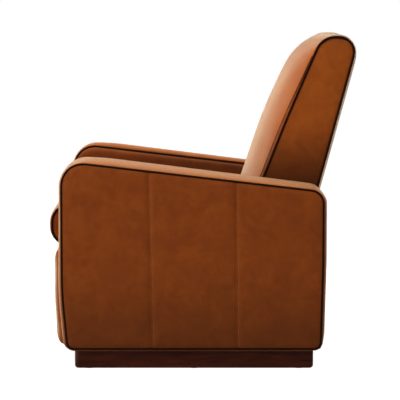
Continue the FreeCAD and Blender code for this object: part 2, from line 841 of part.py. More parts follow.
seat_crowns = [0.0, 0.0, 0.0, float(S.nose_crown), float(S.seat_crown)]
seat_shoulders = ((1.0, 0.0), (0.93, 0.5), (0.78, 0.82), (0.45, 0.97), (0.0, 1.0))
seat_face = float(cushion_half - S.seat_gusset)
seat_stations = crown_stations(-seat_face, seat_face, seat_shoulders)
cushion = padded(seat_stations, seat_corners, seat_radii, seat_crowns)
node("seat_cushion", solid("seat_cushion", cushion))
gusset = cut_panel(seat_face, float(S.seat_gusset), seat_corners, seat_radii, trim_margin)
both_sides("seat_gussets", solid("seat_gusset", gusset))
seat_line = welt_line(seat_face + trim_margin, seat_corners[2:], seat_radii[2:])
seat_welt = welt(seat_line, float(S.welt_radius))
both_sides("seat_welts", solid("seat_welt", seat_welt))

# Back brackets, control links and the rods that drive the footrest
lower_arm = link(
    "back_lower_arm", layer_in(2), back_axis, arm_direction, S.rod_arm, S.back_eye_radius, [(0, snug)],
)
lean_angle = S.back_rear_lean
rear_lean = sine(lean_angle) / cosine(lean_angle)
upper_arm = link(
    "back_upper_arm", layer_in(2), back_axis, 90 - lean_angle, S.bracket_reach, S.back_eye_radius, [(0, snug)],
)
control_stud = pin("control_stud", (layer_in(2), layer_out(1) + S.pin_land), control_top, S.pin_radius)
rod_stud = pin("rod_stud", (layer_in(3) - S.pin_land, layer_out(2)), rod_rear, S.pin_radius)
bracket = union("back_bracket_left", [lower_arm, upper_arm, control_stud, rod_stud])
left_and_right("back_bracket", bracket)
control_holes = [(0, snug), (S.control_link, S.pin_radius + S.control_play)]
control = link(
    "control_link", layer_in(1), control_foot, S.control_rest, S.control_link, S.link_half_width, control_holes,
)
both_sides("back_control_links", control)
rod_run = (crank_pin[0] - rod_rear[0], crank_pin[1] - rod_rear[1])
rod_tilt = angle_of(rod_run[1] / rod_run[0])
rod_length = -rod_run[0] / cosine(rod_tilt)
rod_slot = ((rod_length, 0), (rod_length, S.rod_play), S.pin_radius + S.control_play)
rod_half_width = S.link_half_width + S.rod_play
rod = link(
    "drive_rod", layer_in(3), rod_rear, 180 + rod_tilt, rod_length, rod_half_width, [(0, snug)], [rod_slot],
)
both_sides("footrest_drive_rods", rod)

# Back frame and its padded cover
back_rear_foot = S.back_rear_top - (S.back_top - back_bottom) * rear_lean
back_front_foot = S.back_front_knee - (S.back_knee_height - back_bottom) * front_lean
rear_inside = back_rear_foot - S.back_cover


def post_rear_face(z):
    return rear_inside + (z - back_bottom) * rear_lean


def back_frame_piece(name, x, low, high):
    outline = [
        (post_rear_face(low) - S.back_post_depth, low),
        (post_rear_face(low), low),
        (post_rear_face(high), high),
        (post_rear_face(high) - S.back_post_depth, high),
    ]
    return plate(name, x[0], x[1] - x[0], outline)


post_x = (layer_in(2) - S.back_post_width, layer_in(2))
left_and_right("back_post", back_frame_piece("back_post_left", post_x, back_bottom, S.back_post_top))
rail_x = (-post_x[0], post_x[0])
top_rail = back_frame_piece("back_top_rail", rail_x, S.back_post_top - S.back_board, S.back_post_top)
node("back_top_rail", top_rail)
low_rail = back_frame_piece("back_lower_rail", rail_x, back_bottom, back_bottom + S.back_board)
node("back_lower_rail", low_rail)
straps = []
for n in range(4):
    low = S.back_webbing_first + n * S.back_webbing_pitch
    strap = doc.addObject("Part::Box", f"back_strap_{n}")
    bind(strap, "Length", 2 * post_x[1])
    bind(strap, "Width", S.seat_webbing)
    bind(strap, "Height", S.seat_webbing_width)
    strap_y = post_rear_face(low) - S.back_post_depth - S.seat_webbing / cosine(lean_angle)
    place(strap, -post_x[1], strap_y, low, Vector(1, 0, 0), 0 - lean_angle)
    straps.append(strap)
node("back_webbing", group("back_webbing", straps))

back_corners = numbers([
    (back_front_foot, back_bottom),
    (S.back_front_knee, S.back_knee_height),
    (S.back_front_top, S.back_top),
    (S.back_rear_top, S.back_top),
    (back_rear_foot, back_bottom),
])
back_radii = [float(radius) for radius in (S.back_knee_radius, S.back_front_radius, S.back_rear_radius)]
strap_room = S.seat_webbing / cosine(lean_angle) + S.trim_gap
front_inside = post_rear_face(back_bottom) - S.back_post_depth - strap_room * 2
crest = S.back_post_top + S.trim_gap
back_inside = numbers([
    (front_inside, back_bottom),
    (front_inside + (crest - back_bottom) * rear_lean, crest),
    (post_rear_face(crest) + S.trim_gap, crest),
    (rear_inside + S.trim_gap, back_bottom),
])
front_crown = float(S.back_front_crown)
back_crowns = [front_crown, front_crown, float(S.back_top_crown), float(S.back_rear_crown)]
back_shoulders = ((1.0, 0.0), (0.94, 0.48), (0.8, 0.81), (0.5, 0.96), (0.0, 1.0))
back_face = float(cushion_half - S.back_gusset)
back_stations = crown_stations(-back_face, back_face, back_shoulders)
wrap = padded(back_stations, back_corners, back_radii, back_crowns, back_inside)
node("back_cushion", solid("back_cushion", wrap))
side = cut_panel(back_face, float(S.back_gusset), back_corners, back_radii, trim_margin)
left_and_right("back_side_panel", solid("back_side_panel_left", side))
back_line = welt_line(back_face + trim_margin, back_corners, back_radii)
back_welt = welt(back_line, float(S.welt_radius))
both_sides("back_welts", solid("back_welt", back_welt))

# Footrest links: two pairs of crossed bars on each side
long_bar = link(
    "fold_long_bar", layer_in(2), fold_axis, long_direction, fold_link, S.link_half_width, [(0, snug)],
)
crank_bar = link(
    "fold_crank_bar", layer_in(2), fold_axis, crank_direction, S.fold_crank, S.link_half_width, [(0, snug)],
)
outward = (layer_in(2), layer_out(1) + S.pin_land)
long_pins = [
    pin("fold_middle_pin", outward, link_middle, S.pin_radius),
    pin("fold_end_pin", outward, link_end, S.pin_radius),
    pin("fold_crank_pin", (layer_in(3) - S.pin_land, layer_out(2)), crank_pin, S.pin_radius),
]
both_sides("footrest_long_links", union("footrest_long_link", [long_bar, crank_bar] + long_pins))
cross_holes = [(half_link, snug), (fold_link, snug)]
cross_bar = link(
    "fold_cross_bar", layer_in(1), guide_pin, cross_direction, fold_link, S.link_half_width, cross_holes,
)
guide_stud = pin("fold_guide_pin", (layer_in(4) - S.pin_land, layer_out(1)), guide_pin, S.pin_radius)
both_sides("footrest_cross_links", union("footrest_cross_link", [cross_bar, guide_stud]))
short_holes = [(0, snug), (half_link, loose)]
short_bar = link(
    "fold_short_bar", layer_in(1), link_end, cross_direction, half_link, S.link_half_width, short_holes,
)
both_sides("footrest_short_links", short_bar)
tube = doc.addObject("PartDesign::Body", "footrest_cross_tube")
sketch = new_sketch(tube, "YZ_Plane")
for reach in (S.cross_tube_width / 2, S.cross_tube_width / 2 - S.cross_tube_wall):
    low, high = link_end[1] - reach, link_end[1] + reach
    near, far = link_end[0] - reach, link_end[0] + reach
    draw_outline(sketch, [(near, low), (far, low), (far, high), (near, high)])
pad(tube, sketch, 2 * layer_in(2))
place(tube, -layer_in(2), 0, 0)
node("footrest_cross_tube", tube)

# Footrest board, its brackets and pad
bracket_margin = S.link_half_width + S.pin_land
bracket_outline = [
    (bracket_top[0] + bracket_margin, bracket_top[1] + bracket_margin),
    (-S.footrest_back, bracket_top[1] + bracket_margin),
    (-S.footrest_back, bracket_pin[1] - bracket_margin),
    (bracket_pin[0] + bracket_margin, bracket_pin[1] - bracket_margin),
]
bracket_plate = plate("footrest_bracket_plate", layer_in(2), S.plate, bracket_outline)
flange_x = (layer_out(2) - S.bracket_flange, layer_out(2))
flange_y = (-S.footrest_back, S.bracket_sheet - S.footrest_back)
flange_z = (bracket_pin[1] - bracket_margin, bracket_top[1] + bracket_margin)
flange = board("footrest_bracket_flange", flange_x, flange_y, flange_z)
bracket_pins = [
    pin("footrest_top_pin", outward, bracket_top, S.pin_radius),
    pin("footrest_low_pin", outward, bracket_pin, S.pin_radius),
]
both_sides("footrest_brackets", union("footrest_bracket", [bracket_plate, flange] + bracket_pins))
board_x = (S.footrest_board_inset - footrest_half, footrest_half - S.footrest_board_inset)
board_y = (-S.footrest_back - S.footrest_board, -S.footrest_back)
board_z = (S.footrest_bottom + S.footrest_board_inset, S.footrest_top - S.footrest_board_inset)
node("footrest_board", board("footrest_board", board_x, board_y, board_z))
pad_corners = numbers([
    (board_y[0], S.footrest_bottom),
    (S.footrest_front_tuck - S.footrest_front, S.footrest_bottom),
    (-S.footrest_front, S.footrest_bottom + S.arm_tuck_height),
    (-S.footrest_front, S.footrest_top),
    (board_y[0], S.footrest_top),
])
pad_radii = [float(radius) for radius in (S.footrest_bottom_radius, S.arm_easing_radius, S.footrest_top_radius)]
pad_crown = float(S.footrest_crown)
pad_shoulders = ((1.0, -0.6), (0.95, 0.25), (0.82, 0.7), (0.5, 0.94), (0.0, 1.0))
pad_side = float(footrest_half)
pad_stations = crown_stations(-pad_side, pad_side, pad_shoulders)
footrest_pad = padded(pad_stations, pad_corners, pad_radii, [0.0, pad_crown, pad_crown, 0.0])
node("footrest_pad", solid("footrest_pad", footrest_pad))

doc.recompute()
faults = [thing.Name for thing in doc.Objects if {"Invalid", "Error"} & set(thing.State)]
for label, thing in nodes.items():
    shape = thing.Shape
    if shape.isNull() or not shape.isValid() or not shape.Solids:
        faults.append(label)
if faults:
    raise RuntimeError("not built: " + ", ".join(faults))

os.makedirs("parts", exist_ok=True)
box = FreeCAD.BoundBox()
for label, thing in nodes.items():
    thing.Shape.exportStep(f"parts/{label}.step")
    box.add(thing.Shape.BoundBox)
print(f"{len(nodes)} nodes, {box.XLength:.1f} x {box.YLength:.1f} x {box.ZLength:.1f} mm")
print(f"front {box.YMin:.2f}, rear {box.YMax:.2f}, bottom {box.ZMin:.2f}")
for name, spot in (
    ("front swing foot", base_pivots[0]), ("rear swing foot", base_pivots[1]), ("seat pivot", seat_pivots[0]),
    ("back axis", back_axis), ("control foot", control_foot), ("rod rear", rod_rear), ("fold axis", fold_axis),
    ("link middle", link_middle), ("link end", link_end), ("bracket top", bracket_top),
):
    print(f"{name}: y {float(spot[0]):.3f}, z {float(spot[1]):.3f}")
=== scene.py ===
# %% [markdown]
# # A push-back recliner in cognac leather
#
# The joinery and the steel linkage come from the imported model, which is loaded first and never moved.
# This lesson dresses it: leather over foam, dark piping, a stained plinth, painted steel and woven straps.

# %% The frame
import json
import math

import bmesh
import bpy
from mathutils import Matrix, Vector

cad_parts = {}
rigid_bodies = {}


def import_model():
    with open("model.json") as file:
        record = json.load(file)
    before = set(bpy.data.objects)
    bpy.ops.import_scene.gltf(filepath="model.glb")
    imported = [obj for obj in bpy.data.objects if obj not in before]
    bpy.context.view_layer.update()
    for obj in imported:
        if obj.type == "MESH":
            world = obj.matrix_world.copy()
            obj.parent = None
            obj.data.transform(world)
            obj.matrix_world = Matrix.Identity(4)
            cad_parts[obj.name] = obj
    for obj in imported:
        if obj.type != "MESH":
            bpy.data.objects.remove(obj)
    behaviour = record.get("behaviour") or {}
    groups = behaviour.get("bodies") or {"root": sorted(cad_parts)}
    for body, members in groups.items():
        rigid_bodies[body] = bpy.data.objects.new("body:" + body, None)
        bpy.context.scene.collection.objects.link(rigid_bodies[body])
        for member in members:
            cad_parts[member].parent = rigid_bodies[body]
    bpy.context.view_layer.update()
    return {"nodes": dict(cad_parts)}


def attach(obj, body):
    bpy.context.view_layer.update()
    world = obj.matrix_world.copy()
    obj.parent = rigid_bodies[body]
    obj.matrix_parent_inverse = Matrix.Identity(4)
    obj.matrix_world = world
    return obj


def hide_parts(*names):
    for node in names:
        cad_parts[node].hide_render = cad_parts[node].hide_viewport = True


for leftover in list(bpy.data.objects):
    bpy.data.objects.remove(leftover)
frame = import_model()
MM = 0.001

# %% [markdown]
# ## The camera
#
# The chair is seen square from its left side, from six and a half metres away and from a little higher than its back. A
# short lens close by would spread the two arms apart. A long lens keeps them almost the same size, so it was chosen. The
# columns of the camera's turn are its right, its up and its back.

# %% The camera
TILT = math.radians(5.883)
STANDPOINT = (6.475, -0.00699, 1.14946)
right, up, back = (0, 1, 0), (-math.sin(TILT), 0, math.cos(TILT)), (math.cos(TILT), 0, math.sin(TILT))
eye = bpy.data.cameras.new("side_view")
eye.sensor_width, eye.lens = 36, 180.81
camera = bpy.data.objects.new("side_view", eye)
camera.matrix_world = Matrix.Translation(STANDPOINT) @ Matrix((right, up, back)).transposed().to_4x4()
bpy.context.scene.collection.objects.link(camera)
bpy.context.scene.camera = camera
print("camera: lens", eye.lens, "mm, tilted down", round(math.degrees(TILT), 2), "degrees")

# %% [markdown]
# ## A small language for finishes
#
# A finish is a tree of nodes. It could be wired one link at a time, but then the sums are hard to read. `Wire` wraps one
# output, so that `1 - mask` or `grain * 0.4` adds the Math nodes it needs. `Finish.add` makes any other node: its settings
# first, then the values or wires of its inputs. The short functions below it name the nodes that come up again and again.

# %% Wires and finishes
class Wire:
    def __init__(self, finish, socket):
        self.finish, self.socket = finish, socket

    def maths(self, operation, first, second):
        return self.finish.add("ShaderNodeMath", {"operation": operation}, {0: first, 1: second})

    def __add__(self, other):
        return self.maths("ADD", self, other)

    __radd__ = __add__

    def __sub__(self, other):
        return self.maths("SUBTRACT", self, other)

    def __rsub__(self, other):
        return self.maths("SUBTRACT", other, self)

    def __mul__(self, other):
        return self.maths("MULTIPLY", self, other)

    __rmul__ = __mul__


class Finish:
    def __init__(self, name, tree=None):
        if tree is None:
            self.material = bpy.data.materials.new(name)
            self.material.use_nodes = True
            tree = self.material.node_tree
        self.tree = tree
        self.shader = tree.nodes.get("Principled BSDF")

    def feed(self, node, inputs):
        for key, value in inputs.items():
            if isinstance(value, Wire):
                self.tree.links.new(value.socket, node.inputs[key])
            else:
                node.inputs[key].default_value = value

    def add(self, kind, settings, inputs, out=0):
        node = self.tree.nodes.new(kind)
        for key, value in settings.items():
            if key == "stops":
                while len(node.color_ramp.elements) < len(value):
                    node.color_ramp.elements.new(1)
                for stop, (place, colour) in zip(node.color_ramp.elements, value):
                    stop.position, stop.color = place, colour
            else:
                setattr(node, key, value)
        self.feed(node, inputs)
        return Wire(self, node.outputs[out])

    def where(self, scale=(1, 1, 1)):
        spot = self.add("ShaderNodeTexCoord", {}, {}, "Object")
        return spot if scale == (1, 1, 1) else self.add("ShaderNodeMapping", {}, {"Vector": spot, "Scale": scale})


def noise(finish, spot, scale, detail, roughness=0.5, distortion=0):
    return finish.add("ShaderNodeTexNoise", {}, {"Vector": spot, "Scale": scale, "Detail": detail,
                                                 "Roughness": roughness, "Distortion": distortion})


def smooth_range(finish, value, start, end, low=0, high=1):
    """A soft change from low, where value is start, to high, where it is end."""
    return finish.add("ShaderNodeMapRange", {"interpolation_type": "SMOOTHSTEP"},
                      {"Value": value, "From Min": start, "From Max": end, "To Min": low, "To Max": high})


def ramp(finish, value, *stops):
    return finish.add("ShaderNodeValToRGB", {"stops": stops}, {"Fac": value})


def mix(finish, share, below, above, kind="MIX"):
    """Two colours mixed. A Mix node for colours takes them at its sockets 6 and 7, and gives the result at 2."""
    return finish.add("ShaderNodeMix", {"data_type": "RGBA", "blend_type": kind}, {0: share, 6: below, 7: above}, 2)


def axis_of(finish, vector, axis):
    return finish.add("ShaderNodeSeparateXYZ", {}, {"Vector": vector}, axis)


def relief(finish, height, strength, depth):
    return finish.add("ShaderNodeBump", {}, {"Height": height, "Strength": strength, "Distance": depth})


def shade(red, green, blue):
    """A colour as a picture gives it, 0 to 255, as the linear values that a shader wants."""
    linear = (v / 255 / 12.92 if v < 10.3 else ((v / 255 + 0.055) / 1.055) ** 2.4 for v in (red, green, blue))
    return (*linear, 1)


WHITE = (1, 1, 1, 1)
print("finishes: ready, white is", WHITE)

# %% [markdown]
# ## Leather
#
# Cognac pull-up leather is never one colour. Oil moves under the hand, so large soft clouds of russet and honey lie
# under smaller dark flecks. The tops and fronts take a painted tone of their own, which stands in for light: a paler
# painted highlight on most pieces, and a darker painted shade on the seat and the back. The grain is a net of creases
# about two millimetres wide with pores in it. It could be modelled, but it is far too small for that, so it is a bump.
# The flecks change the gloss a little, and a warm sheen lights the leather where it turns away. The sides of the arms
# and of the back are darker low down, a painted shade where they lie in shade.

# %% The leather finish
FLECKS, CREASES, PORES = 46, 460, 1300
GLOSS_TINT, BLOOM_TINT = (1, 0.8, 0.55, 1), (1, 0.88, 0.68, 1)
CREASE_TONE, SHADED_TONE = shade(120, 96, 84), shade(70, 60, 60)


def leather(name, dark, middle, light, painted_top_front_tone, clouds=15, gloss=0.32, bloom=0.9, dim=None):
    """Three tones of hide and a painted light tone for its tops and fronts. dim is a lower and an upper height and how
    dark its painted shade is below.
    """
    hide = Finish(name)
    spot = hide.where()
    cloud = noise(hide, spot, clouds, 3, 0.55, 0.8)
    fleck = noise(hide, spot, FLECKS, 5, 0.62, 0.4)
    pore = noise(hide, spot, PORES, 2)
    crease = hide.add("ShaderNodeTexVoronoi", {"feature": "DISTANCE_TO_EDGE"},
                      {"Vector": spot, "Scale": CREASES, "Randomness": 1})
    net = smooth_range(hide, crease, 0, 0.09)
    colour = ramp(hide, cloud * 0.62 + fleck * 0.38, (0.26, dark), (0.5, middle), (0.74, light))
    facing = hide.add("ShaderNodeTexCoord", {}, {}, "Normal")
    aside, rearward, upward = (axis_of(hide, facing, axis) for axis in "XYZ")
    # Painted light: tops and fronts take their own tone, a painted highlight where it is paler and a painted shade
    # where it is darker.
    painted_top_front_share = smooth_range(hide, upward.maths("MAXIMUM", upward, rearward * -0.9), 0.25, 1, 0, 0.4)
    colour = mix(hide, painted_top_front_share * (0.6 + fleck * 0.5), colour, painted_top_front_tone)
    skin = mix(hide, 0.22, colour, ramp(hide, net, (0, CREASE_TONE), (1, WHITE)), "MULTIPLY")
    if dim:
        low, high, amount = dim
        shaded = smooth_range(hide, axis_of(hide, spot, "Z"), low, high, amount, 0)
        skin = mix(hide, shaded * aside * aside, skin, SHADED_TONE, "MULTIPLY")
    hide.feed(hide.shader, {
        "Base Color": skin, "Roughness": 0.34 + fleck * 0.26,
        "Normal": relief(hide, net * 0.7 + pore * 0.3 + fleck * 0.25, 0.32, 0.0006),
        "Specular IOR Level": gloss, "Specular Tint": GLOSS_TINT,
        "Sheen Weight": bloom, "Sheen Roughness": 0.3, "Sheen Tint": BLOOM_TINT})
    return hide.material


HIDE = shade(122, 54, 11), shade(139, 63, 13), shade(154, 75, 18)
# The back's tones are lighter than the rest of the same leather: a painted light.
BACK_TONES_PAINTED_LIGHTER = shade(140, 65, 12), shade(158, 76, 15), shade(172, 88, 20)
PIPING_TONES = shade(26, 11, 5), shade(34, 15, 8), shade(46, 22, 12)
# A pale tone for tops and fronts: a painted highlight.
PAINTED_HIGHLIGHT_TONE = shade(186, 124, 58)
COGNAC = leather("cognac_leather", *HIDE, PAINTED_HIGHLIGHT_TONE, gloss=0.5, bloom=1)
# The seat's tops and nose take a darker tone, a painted shade.
SEAT_HIDE = leather("cognac_leather_seat", *HIDE, shade(112, 50, 12), gloss=0.2, bloom=0.3)
ARM_HIDE = leather("cognac_leather_arms", *HIDE, PAINTED_HIGHLIGHT_TONE, dim=(0.06, 0.34, 0.42))
# The back's front and top take a darker tone, a painted shade, and its sides a painted shade low down.
BACK_HIDE = leather("cognac_leather_back", *BACK_TONES_PAINTED_LIGHTER, shade(104, 46, 12), bloom=1, dim=(0.55, 0.78, 0.8))
LINING = leather("cognac_leather_lining", *HIDE, PAINTED_HIGHLIGHT_TONE, dim=(0.56, 0.67, 0.7))
# The piping's tops and fronts take a paler tone, a painted highlight.
PIPING = leather("dark_piping_leather", *PIPING_TONES, shade(56, 29, 16), clouds=22, gloss=0.05, bloom=0)
print("leather:", [hide.name for hide in (COGNAC, SEAT_HIDE, ARM_HIDE, BACK_HIDE, LINING, PIPING)])

# %% [markdown]
# ## Outlines
#
# Every upholstered form on this chair is drawn in its side view and runs straight across. An outline could be a curve, but a
# face on a few corner points is easier to measure: a vertex bevel rounds each corner by its own radius. Long runs are then
# cut into even lengths, so that the leather can curve. Each corner is y, z and radius in millimetres.

# %% Rounded outlines
DEGREES_A_STEP = 9


def outline(corners, pitch=30):
    bm = bmesh.new()
    spots = [bm.verts.new((0, y * MM, z * MM)) for y, z, _ in corners]
    bm.faces.new(spots)
    for at, (_, _, radius) in enumerate(corners):
        if radius:
            here, before, after = (Vector(corners[k % len(corners)][:2]) for k in (at, at - 1, at + 1))
            bend = (here - before).angle(after - here)
            bmesh.ops.bevel(bm, geom=[spots[at]], offset=radius * MM * math.tan(bend / 2), offset_type="OFFSET",
                            affect="VERTICES", segments=max(2, round(math.degrees(bend) / DEGREES_A_STEP)),
                            profile=0.5, material=-1)
    for edge in list(bm.edges):
        if edge.calc_length() > 1.5 * pitch * MM:
            bmesh.ops.subdivide_edges(bm, edges=[edge], cuts=round(edge.calc_length() / (pitch * MM)) - 1)
    return bm


def along(corners, last=None, pitch=30):
    """The points of an outline in order, from its first corner to the corner called last, or all the way round."""
    bm = outline(corners, pitch)
    bm.faces.ensure_lookup_table()
    points = [loop.vert.co.copy() for loop in bm.faces[0].loops]
    bm.free()

    def nearest(corner):
        target = Vector((0, corner[0] * MM, corner[1] * MM))
        return min(range(len(points)), key=lambda k: (points[k] - target).length)

    start = nearest(corners[0])
    points = points[start:] + points[:start]
    return points if last is None else points[:nearest(corners[last]) + 1]


ARM = [(-413.5, 64, 22), (-429.5, 239, 900), (-429.5, 640.7, 68), (369.5, 547.5, 40), (369.5, 326.5, 900), (362.5, 64, 0)]
INNER_RISE = 3
ARM_INSIDE = [(y, z + (INNER_RISE if z > 500 else 0), radius) for y, z, radius in ARM]
SEAT = [(63, 463, 0), (-472, 500, 57), (-472, 366, 57), (-395, 366, 8), (-365, 354.3, 8), (20.2, 354.3, 0)]
BACK = [(114, 388, 0), (260, 759, 1500), (369.5, 1015, 58), (483, 1015, 50), (313.5, 388, 0)]
FOOT = [(-421, 363, 5), (-458.5, 363, 20), (-458.5, 215, 900), (-451, 49.5, 21), (-421, 49.5, 5)]
print("outlines:", {name: len(along(c)) for name, c in (("arm", ARM), ("seat", SEAT), ("back", BACK), ("footrest", FOOT))})

# %% [markdown]
# ## Turning a bmesh into a piece
#
# Each finished mesh becomes an object at the origin, smooth shaded, with its material. It rides on a body of the frame
# and may stand for the plain solids of the frame. The second arm is the first one's mirror image. Scaling by minus one
# turns its faces inside out, so they are turned back.

# %% Pieces
SIDES = (("left", 1), ("right", -1))


def piece(name, bm, material, body, stands_for=(), subdivide=0):
    mesh = bpy.data.meshes.new(name)
    bm.to_mesh(mesh)
    bm.free()
    mesh.shade_smooth()
    mesh.materials.append(material)
    made = bpy.data.objects.new(name, mesh)
    bpy.context.scene.collection.objects.link(made)
    if subdivide:
        smooth = made.modifiers.new("smooth", "SUBSURF")
        smooth.levels = smooth.render_levels = subdivide
    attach(made, body)
    if stands_for:
        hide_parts(*stands_for)
    print("piece:", name, len(mesh.polygons), "faces")


def mirrored(bm):
    """The same shape for the other arm."""
    bmesh.ops.scale(bm, vec=(-1, 1, 1), verts=bm.verts)
    bmesh.ops.reverse_faces(bm, faces=bm.faces)
    return bm


print("sides:", [side for side, _ in SIDES])

# %% [markdown]
# ## The boxed band round each arm
#
# A band of leather over foam runs round the arm between two lines of piping. It could be swollen by simulation, but a band
# this narrow keeps its line better by rule. The outline is extruded across in columns, and each column is pushed out along
# its normals: almost nothing at the piping, most in the middle. The crown leans towards the seat, where the seam lies three
# millimetres higher. It is flatter at the front corner, and it turns under in a narrow hem at the foot.

# %% Crowned bands
def clamp(share):
    return max(0, min(1, share))


def dome(t):
    """A deep, even crown across the width: 0 at the seams, 1 in the middle."""
    return max(0.0, 1 - abs(t) ** 2.4) ** 0.55


def roll(t):
    """A flat crown that turns quickly down to the seams."""
    return max(0.0, 1 - abs(t) ** 6) ** 0.5


def band(corners, low, high, columns, crown):
    """A closed outline extruded from x = low to high, then crowned by crown(normal, point, share across) in millimetres."""
    bm = outline(corners)
    rim = bm.edges[:]
    bmesh.ops.delete(bm, geom=bm.faces[:], context="FACES_ONLY")
    bmesh.ops.translate(bm, verts=bm.verts, vec=(low * MM, 0, 0))
    ends = [-math.cos(math.pi * k / columns) for k in range(columns + 1)]
    for k in range(columns):
        new = bmesh.ops.extrude_edge_only(bm, edges=rim)["geom"]
        verts = {v for v in new if isinstance(v, bmesh.types.BMVert)}
        rim = [e for e in new if isinstance(e, bmesh.types.BMEdge) and set(e.verts) <= verts]
        bmesh.ops.translate(bm, verts=list(verts), vec=((ends[k + 1] - ends[k]) / 2 * (high - low) * MM, 0, 0))
    bmesh.ops.recalc_face_normals(bm, faces=bm.faces)
    bm.normal_update()
    middle, half = (low + high) / 2 * MM, (high - low) / 2 * MM
    for v, n in [(v, v.normal.copy()) for v in bm.verts]:
        v.co += n * crown(n, v.co, (v.co.x - middle) / half) * MM
    return bm


ARM_INNER, ARM_OUTER, ARM_COLUMNS = 284.2, 390.8, 20
HEM_DEPTH, HEM_MIDDLE, HEM_HALF = 9, 384, 6.8
REAR_CROWN = 13


def arm_crown(n, co, t):
    hem = HEM_DEPTH * max(0, 1 - abs((co.x / MM - HEM_MIDDLE) / HEM_HALF) ** 2.5) * max(0, -n.z)
    lift = max(0, n.z) ** 3
    top = (14 - 8 * (co.y + 0.03)) * (1 - 0.3 * t) * lift
    top *= 1 - 0.4 * clamp((-0.3 - co.y) / 0.08)
    front = 14 - 4 * clamp((co.z - 0.2) / 0.3)
    ends = (front if n.y < 0 else REAR_CROWN) * abs(n.y) ** 3
    return hem + INNER_RISE / 2 * (1 - t) * lift + (ends + top) * (0.4 * dome(t) + 0.6 * roll(t))


for side, sign in SIDES:
    shape = band(ARM, ARM_INNER, ARM_OUTER, ARM_COLUMNS, arm_crown)
    piece("arm_band_" + side, shape if sign > 0 else mirrored(shape), ARM_HIDE, "base",
          ("arm_boxing_" + side,), subdivide=1)

# %% [markdown]
# ## The side panels
#
# The outer panel is sewn from three sections, and each seam is a narrow felled strip between two rows of stitching. The seams
# could be painted on, but then they would not catch the light. Planes cut the outline at both edges of the strips, and every
# section is inset in steps that also rise, which leaves fine grooves at the seams and a soft edge beside the piping. The
# panel towards the seat is a single section.

# %% Side panels
SEAMS = (((-163.5, 612), (-152.4, 64)), ((103.4, 581), (107.5, 64)))
STRIP_HALF = 2.6
OUTER_STEPS = (2, 0.8), (4, 1.0), (6, 1.0), (6, 0.6)
INNER_STEPS = (2, 1.6), (4, 2.2), (5, 1.8), (6, 0.9)
PANEL_OUTER = ARM_OUTER + 1


def side_panel(corners, seams, steps):
    """A flat outline cut along the seams, its sections raised in steps of (width, rise) towards +x."""
    bm = outline(corners, 2000)
    for (y0, z0), (y1, z1) in seams:
        across = Vector((0, z0 - z1, y1 - y0)).normalized()
        for edge in (-STRIP_HALF, STRIP_HALF):
            bmesh.ops.bisect_plane(bm, geom=bm.verts[:] + bm.edges[:] + bm.faces[:], plane_no=across,
                                   plane_co=Vector((0, y0, z0)) * MM + across * edge * MM)
    for edge in list(bm.edges):
        if edge.calc_length() > 0.04:
            bmesh.ops.subdivide_edges(bm, edges=[edge], cuts=round(edge.calc_length() / 0.02) - 1)
    bmesh.ops.recalc_face_normals(bm, faces=bm.faces)
    bm.normal_update()
    if bm.faces[:][0].normal.x < 0:
        bmesh.ops.reverse_faces(bm, faces=bm.faces)
    bmesh.ops.inset_individual(bm, faces=bm.faces[:], thickness=0.8 * MM, depth=1.4 * MM, use_even_offset=True)
    sections = [f for f in bm.faces if f.normal.x > 0.99 and f.calc_area() > 0.02]
    for width, rise in steps:
        bmesh.ops.inset_individual(bm, faces=sections, thickness=width * MM, depth=rise * MM, use_even_offset=True)
    return bm


for side, sign in SIDES:
    outer = side_panel(ARM, SEAMS, OUTER_STEPS)
    bmesh.ops.translate(outer, verts=outer.verts, vec=(PANEL_OUTER * MM, 0, 0))
    piece("arm_side_" + side, outer if sign > 0 else mirrored(outer), ARM_HIDE, "base",
          ("arm_outer_panel_" + side,), subdivide=1)
    inner = side_panel(ARM_INSIDE, (), INNER_STEPS)
    bmesh.ops.translate(inner, verts=inner.verts, vec=(-ARM_INNER * MM, 0, 0))
    piece("arm_lining_" + side, mirrored(inner) if sign > 0 else inner, LINING, "base",
          ("arm_inner_panel_" + side,), subdivide=1)

# %% [markdown]
# ## Piping
#
# Dark piping is a strip of leather folded round a cord and sewn into the seam. A curve with a bevel would do, but its twist
# is hard to steer at the corners. Here a circle is set at every point of the seam, facing along it, and each circle is
# bridged to the next.

# %% Piping cords
def cord_on(bm, points, radius, closed, sides=8):
    rings, count = [], len(points)
    for k, point in enumerate(points):
        ahead = points[(k + 1) % count] if closed or k + 1 < count else point
        behind = points[k - 1] if closed or k else point
        turn = (ahead - behind).to_track_quat("Z", "X").to_matrix().to_4x4()
        ring = bmesh.ops.create_circle(bm, segments=sides, radius=radius * MM, cap_ends=False,
                                       matrix=Matrix.Translation(point) @ turn)
        rings.append({e for v in ring["verts"] for e in v.link_edges})
    for k in range(count if closed else count - 1):
        bmesh.ops.bridge_loops(bm, edges=list(rings[k] | rings[(k + 1) % count]))
    if not closed:
        bmesh.ops.holes_fill(bm, edges=list(rings[0] | rings[-1]), sides=sides)


def piping(name, runs, body, stands_for):
    """One piece from runs of (points, x, radius, closed)."""
    bm = bmesh.new()
    for points, x, radius, closed in runs:
        cord_on(bm, [p + Vector((x * MM, 0, 0)) for p in points], radius, closed)
    bmesh.ops.recalc_face_normals(bm, faces=bm.faces)
    piece(name, bm, PIPING, body, stands_for, subdivide=1)


OUTER_X, OUTER_RADIUS = 392.6, 3.9
INNER_X, INNER_RADIUS = 282.8, 4.0
for side, sign in SIDES:
    arm_runs = [(along(ARM), sign * OUTER_X, OUTER_RADIUS, True), (along(ARM_INSIDE), sign * INNER_X, INNER_RADIUS, True)]
    piping("arm_piping_" + side, arm_runs, "base", ("arm_welts_" + side,))

